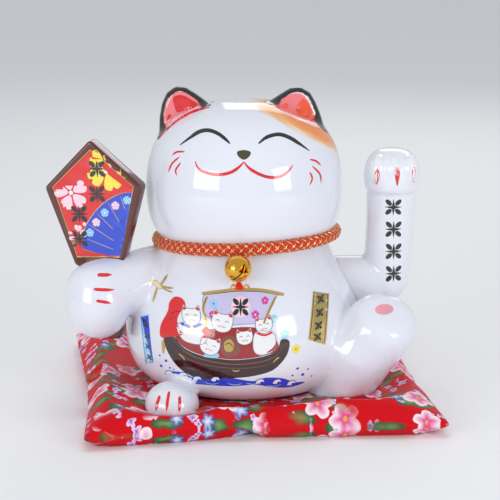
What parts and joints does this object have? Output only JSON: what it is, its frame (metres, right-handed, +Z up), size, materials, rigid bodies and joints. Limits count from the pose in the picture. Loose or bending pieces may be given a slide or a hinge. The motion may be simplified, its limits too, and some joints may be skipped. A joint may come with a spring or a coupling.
{
  "type": "ceramic cat figurine",
  "caption": "Seated lucky-cat ornament with a battery-driven waving arm, wish tablet, corded bell collar and a loose square cushion.",
  "frame": {"origin": "on the flat underside of the cushion, under the cat's own vertical axis", "axes": "+Z up, the cat looks along -Y, its waving arm on +X"},
  "size_m": [0.3108, 0.3074, 0.2486],
  "materials": {
    "printed_satin": "printed satin",
    "cushion_wadding": "fibre wadding",
    "white_glaze": "glossy white ceramic glaze",
    "tablet_glaze": "glossy brown glaze with a printed red panel",
    "red_cord": "braided cord with gold thread",
    "bell_gold": "polished",
    "black_plastic": "moulded",
    "grey_plastic": "moulded",
    "steel": "plated",
    "battery_jacket": "plain jacket",
    "copper": "enamelled winding wire",
    "board_green": "circuit board",
    "component_black": "moulded",
    "brass": "turned",
    "magnet_nickel": "nickel plated",
    "arm_white": "glossy white"
  },
  "bodies": {
    "cushion": {"cushion_cover": "printed_satin", "cushion_filling": "cushion_wadding"},
    "figurine": {"ceramic_casting": "white_glaze", "wish_tablet": "tablet_glaze", "collar_cord": "red_cord", "collar_knot": "red_cord", "base_tray": "black_plastic", "base_screws": "steel", "clamp_dogs": "steel", "battery_left": "battery_jacket", "battery_right": "battery_jacket", "contact_plates": "steel", "contact_springs": "steel", "switch_housing": "black_plastic", "coil_bobbin": "grey_plastic", "coil_winding": "copper", "circuit_board": "board_green", "board_components": "component_black", "axle_frame": "grey_plastic", "frame_screws": "steel", "frame_bushings": "brass", "shoulder_bushing": "brass"},
    "battery_door": {"battery_door": "black_plastic"},
    "power_switch": {"switch_slider": "grey_plastic"},
    "waving_arm": {"arm_front_shell": "arm_white", "arm_rear_shell": "arm_white", "arm_hub": "grey_plastic", "hub_screw": "steel", "swing_shaft": "steel", "shaft_clips": "steel", "pendulum_lever": "grey_plastic", "drive_magnet": "magnet_nickel", "counterweights": "steel", "weight_rivet": "brass"},
    "bell_tie": {"bell_tie": "red_cord"},
    "bell": {"bell_shell": "bell_gold", "bell_loop": "bell_gold"},
    "bell_pellet": {"bell_pellet": "steel"}
  },
  "joints": [
    {"name": "cat_lift", "type": "slide", "parent": "cushion", "child": "figurine", "axis": [0, 0, 1], "range_m": [0, 0.05]},
    {"name": "arm_wave", "type": "hinge", "parent": "figurine", "child": "waving_arm", "pos_m": [0.07, 0.008, 0.092], "axis": [1, 0, 0], "range_deg": [-25, 25]},
    {"name": "battery_door_slide", "type": "slide", "parent": "figurine", "child": "battery_door", "axis": [0, 1, 0], "range_m": [0, 0.006]},
    {"name": "power_switch_slide", "type": "slide", "parent": "figurine", "child": "power_switch", "axis": [1, 0, 0], "range_m": [0, 0.004]},
    {"name": "bell_swing_out", "type": "hinge", "parent": "figurine", "child": "bell_tie", "pos_m": [0.00387, -0.07745, 0.1355], "axis": [-1, 0, 0], "range_deg": [0, 40]},
    {"name": "bell_swing_side", "type": "hinge", "parent": "bell_tie", "child": "bell", "pos_m": [0.00387, -0.08028, 0.13267], "axis": [-0.2779, -0.8606, 0.4269], "range_deg": [-2, 34]},
    {"name": "pellet_roll", "type": "hinge", "parent": "bell", "child": "bell_pellet", "pos_m": [-0.0035, -0.0825, 0.1234], "axis": [0, 1, 0], "range_deg": [-40, 40]}
  ]
}
